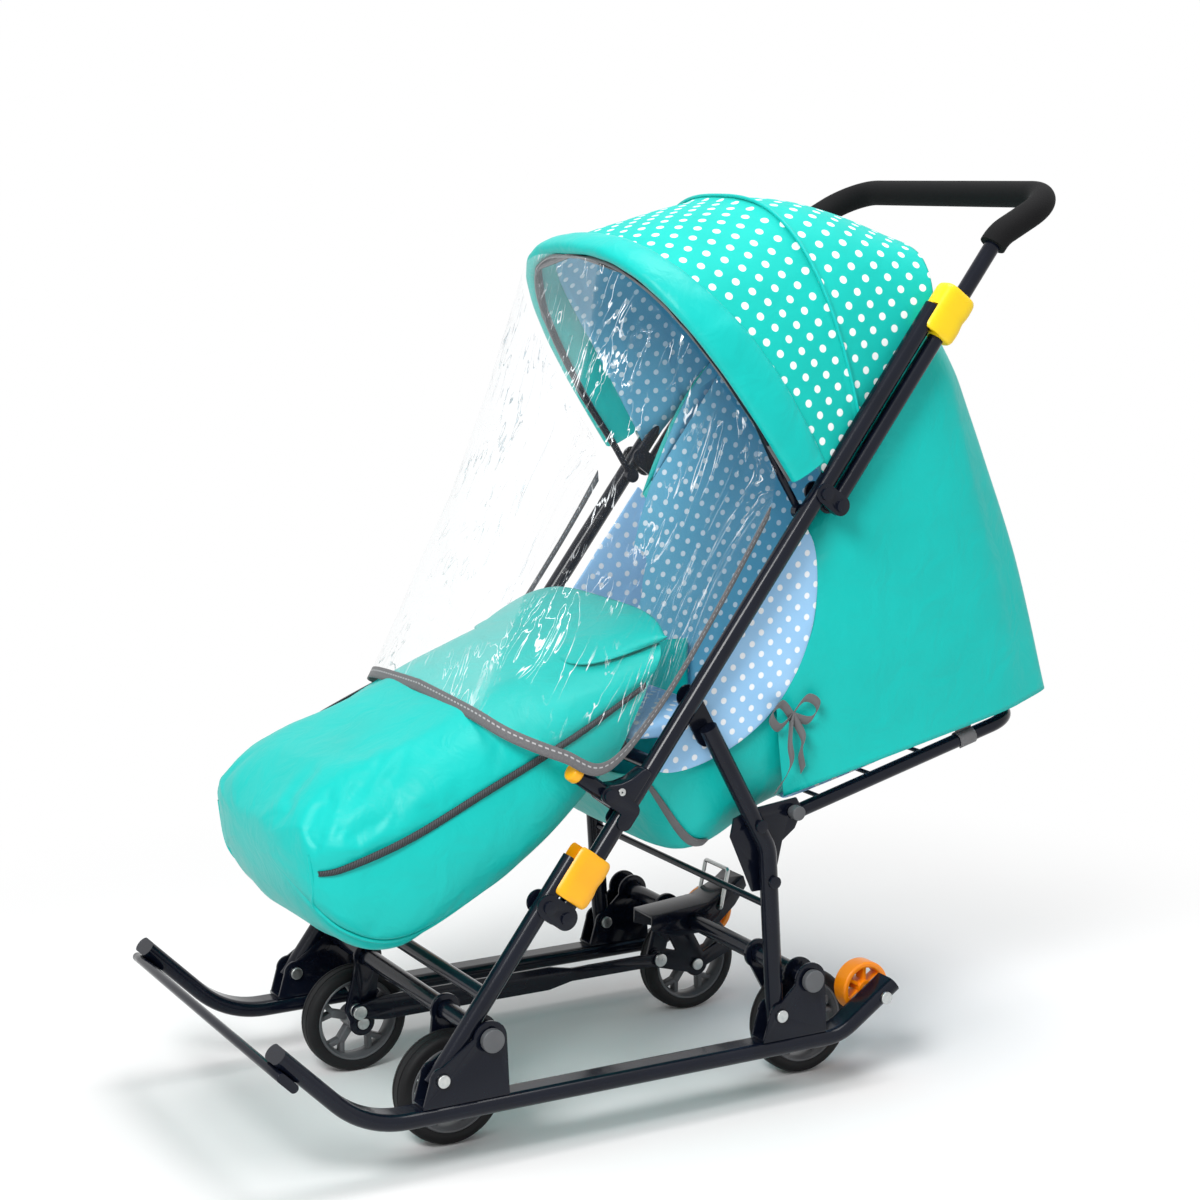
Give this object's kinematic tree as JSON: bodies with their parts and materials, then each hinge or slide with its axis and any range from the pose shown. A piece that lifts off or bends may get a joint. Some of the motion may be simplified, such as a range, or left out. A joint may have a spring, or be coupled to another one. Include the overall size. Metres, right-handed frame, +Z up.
{
  "type": "sled stroller",
  "caption": "Folding push sled with a reclining seat, hood, foot muff and clear cover, on turned-up runners with pedal-retracted wheels.",
  "frame": {"origin": "centre of the bounding box's footprint, on the ground under the wheels", "axes": "+X to the left, -Y to the front (toes), +Z up"},
  "size_m": [0.4386, 1.0107, 1.0016],
  "materials": {
    "black_steel": "gloss",
    "zinc": "satin",
    "grey_plastic": "matte",
    "yellow_plastic": "satin",
    "orange_plastic": "satin",
    "rubber": "matte",
    "foam": "matte",
    "teal_cloth": "woven",
    "blue_cloth": "woven, dotted",
    "grey_web": "webbing",
    "clear_film": "clear film"
  },
  "bodies": {
    "chassis": {"runner_left": "black_steel", "runner_right": "black_steel", "toe_bar": "black_steel", "front_brackets": "black_steel", "rear_brackets": "black_steel", "chassis_bolts": "zinc"},
    "front_axle": {"front_axle_tube": "black_steel", "front_fork_plates": "black_steel", "front_stub_bolts": "zinc", "front_axle_caps": "grey_plastic"},
    "rear_axle": {"rear_axle_tube": "black_steel", "rear_fork_plates": "black_steel", "rear_stub_bolts": "zinc", "rear_axle_caps": "grey_plastic", "lift_pedal": "black_steel"},
    "lock_bail": {"lock_bail": "zinc"},
    "lift_link": {"lift_link": "black_steel"},
    "wheel_front_left": {"tyre_front_left": "rubber", "rim_front_left": "grey_plastic"},
    "wheel_front_right": {"tyre_front_right": "rubber", "rim_front_right": "grey_plastic"},
    "wheel_rear_left": {"tyre_rear_left": "rubber", "rim_rear_left": "grey_plastic"},
    "wheel_rear_right": {"tyre_rear_right": "rubber", "rim_rear_right": "grey_plastic"},
    "tip_wheel_left": {"tip_wheel_left": "orange_plastic"},
    "tip_wheel_right": {"tip_wheel_right": "orange_plastic"},
    "front_legs": {"front_leg_left": "black_steel", "front_leg_right": "black_steel", "front_brace": "black_steel", "knee_plates": "black_steel"},
    "upper_frame": {"main_tube_left": "black_steel", "main_tube_right": "black_steel", "seat_tube": "black_steel", "frame_brackets": "black_steel", "stub_plugs": "yellow_plastic", "handle_hinges": "black_steel", "hood_canopy": "teal_cloth", "rear_curtain": "teal_cloth", "side_panels": "blue_cloth", "seat_pad": "blue_cloth", "rain_cover": "clear_film"},
    "rear_legs": {"rear_leg_left": "black_steel", "rear_leg_right": "black_steel", "rear_rod": "black_steel", "recline_plates": "black_steel"},
    "recline_pin_left": {"recline_pin_left": "grey_plastic"},
    "recline_pin_right": {"recline_pin_right": "grey_plastic"},
    "backrest": {"backrest_frame": "black_steel", "back_pad": "blue_cloth", "harness": "grey_web"},
    "handle": {"handle_tube": "black_steel", "handle_grip": "foam"},
    "upper_latch_left": {"upper_latch_left": "yellow_plastic"},
    "upper_latch_right": {"upper_latch_right": "yellow_plastic"},
    "lower_latch_left": {"lower_latch_left": "yellow_plastic"},
    "lower_latch_right": {"lower_latch_right": "yellow_plastic"},
    "footrest": {"footrest": "grey_plastic", "foot_muff": "teal_cloth"},
    "hood": {"hood_bow": "black_steel"}
  },
  "joints": [
    {"name": "wheel_lift", "type": "hinge", "parent": "chassis", "child": "front_axle", "pos_m": [0, -0.26012, 0.138], "axis": [1, 0, 0], "range_deg": [0, 85]},
    {"name": "rear_lift", "type": "hinge", "parent": "chassis", "child": "rear_axle", "pos_m": [0, 0.13188, 0.138], "axis": [1, 0, 0], "range_deg": [0, 85]},
    {"name": "link_turn", "type": "hinge", "parent": "front_axle", "child": "lift_link", "pos_m": [0, -0.27612, 0.078], "axis": [1, 0, 0], "range_deg": [-85, 0]},
    {"name": "bail_turn", "type": "hinge", "parent": "rear_axle", "child": "lock_bail", "pos_m": [0, 0.16588, 0.15], "axis": [1, 0, 0], "range_deg": [0, 50]},
    {"name": "roll_front_left", "type": "hinge", "parent": "front_axle", "child": "wheel_front_left", "pos_m": [0.125, -0.26812, 0.061], "axis": [1, 0, 0], "continuous": true},
    {"name": "roll_rear_left", "type": "hinge", "parent": "rear_axle", "child": "wheel_rear_left", "pos_m": [0.125, 0.17388, 0.061], "axis": [1, 0, 0], "continuous": true},
    {"name": "tip_roll_left", "type": "hinge", "parent": "chassis", "child": "tip_wheel_left", "pos_m": [0.167, 0.22923, 0.1031], "axis": [1, 0, 0], "continuous": true},
    {"name": "roll_front_right", "type": "hinge", "parent": "front_axle", "child": "wheel_front_right", "pos_m": [-0.125, -0.26812, 0.061], "axis": [1, 0, 0], "continuous": true},
    {"name": "roll_rear_right", "type": "hinge", "parent": "rear_axle", "child": "wheel_rear_right", "pos_m": [-0.125, 0.17388, 0.061], "axis": [1, 0, 0], "continuous": true},
    {"name": "tip_roll_right", "type": "hinge", "parent": "chassis", "child": "tip_wheel_right", "pos_m": [-0.167, 0.22923, 0.1031], "axis": [1, 0, 0], "continuous": true},
    {"name": "frame_fold", "type": "hinge", "parent": "chassis", "child": "front_legs", "pos_m": [0, -0.31412, 0.103], "axis": [1, 0, 0], "range_deg": [0, 98], "deforming": ["hood_canopy", "rear_curtain", "side_panels", "foot_muff", "rain_cover"]},
    {"name": "knee_turn", "type": "hinge", "parent": "front_legs", "child": "upper_frame", "pos_m": [0, -0.17156, 0.25242], "axis": [1, 0, 0], "range_deg": [-135, 0]},
    {"name": "rear_leg_turn", "type": "hinge", "parent": "chassis", "child": "rear_legs", "pos_m": [0, 0.09388, 0.103], "axis": [1, 0, 0], "range_deg": [0, 42]},
    {"name": "recline", "type": "hinge", "parent": "rear_legs", "child": "backrest", "pos_m": [0, 0.10388, 0.307], "axis": [1, 0, 0], "range_deg": [0, 60]},
    {"name": "recline_release_left", "type": "slide", "parent": "rear_legs", "child": "recline_pin_left", "axis": [1, 0, 0], "range_m": [0, 0.007], "stiffness_N_per_m": 250},
    {"name": "recline_release_right", "type": "slide", "parent": "rear_legs", "child": "recline_pin_right", "axis": [-1, 0, 0], "range_m": [0, 0.007], "stiffness_N_per_m": 250},
    {"name": "handle_fold", "type": "hinge", "parent": "upper_frame", "child": "handle", "pos_m": [0, 0.16203, 0.65981], "axis": [1, 0, 0], "range_deg": [-115, 0]},
    {"name": "hood_fold", "type": "hinge", "parent": "upper_frame", "child": "hood", "pos_m": [0, 0.12725, 0.65331], "axis": [-1, 0, 0], "range_deg": [0, 35], "deforming": ["hood_canopy", "rain_cover"]},
    {"name": "footrest_tilt", "type": "hinge", "parent": "upper_frame", "child": "footrest", "pos_m": [0, -0.061, 0.40075], "axis": [-1, 0, 0], "range_deg": [0, 35], "deforming": ["foot_muff", "rain_cover"]},
    {"name": "upper_latch_slide_left", "type": "slide", "parent": "handle", "child": "upper_latch_left", "axis": [0, 0.5976, 0.8018], "range_m": [0, 0.03]},
    {"name": "lower_latch_slide_left", "type": "slide", "parent": "upper_frame", "child": "lower_latch_left", "axis": [0, 0.5976, 0.8018], "range_m": [0, 0.03]},
    {"name": "upper_latch_slide_right", "type": "slide", "parent": "handle", "child": "upper_latch_right", "axis": [0, 0.5976, 0.8018], "range_m": [0, 0.03]},
    {"name": "lower_latch_slide_right", "type": "slide", "parent": "upper_frame", "child": "lower_latch_right", "axis": [0, 0.5976, 0.8018], "range_m": [0, 0.03]}
  ],
  "couplings": [
    {"joint": "rear_lift", "follows": "wheel_lift", "ratio": 1},
    {"joint": "link_turn", "follows": "wheel_lift", "ratio": -1},
    {"joint": "knee_turn", "follows": "frame_fold", "ratio": -1.3692},
    {"joint": "rear_leg_turn", "follows": "frame_fold", "ratio": 0.4279}
  ]
}
